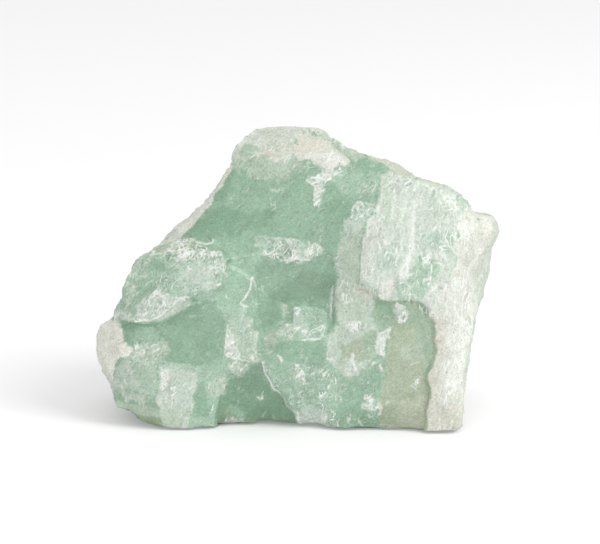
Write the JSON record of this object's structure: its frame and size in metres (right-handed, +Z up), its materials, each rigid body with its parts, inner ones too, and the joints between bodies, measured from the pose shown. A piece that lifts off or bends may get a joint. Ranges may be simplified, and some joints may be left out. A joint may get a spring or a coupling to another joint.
{
  "type": "rough aquamarine",
  "caption": "Broken chunk of rough pale green aquamarine with smooth cleaved faces, crushed ledges and a ribbed edge, resting on a flat foot.",
  "frame": {"origin": "middle of the stone's box, on the plane of the flat foot it rests on", "axes": "+X to the viewer's right across the broad front break, +Y away from the viewer into the stone, +Z up from the foot"},
  "size_m": [0.0522, 0.031, 0.037],
  "materials": {
    "stone": "milky pale green crystal, fresh breaks with a low gloss, sugary white where crushed"
  },
  "bodies": {
    "root": {"aquamarine": "stone"}
  },
  "joints": []
}
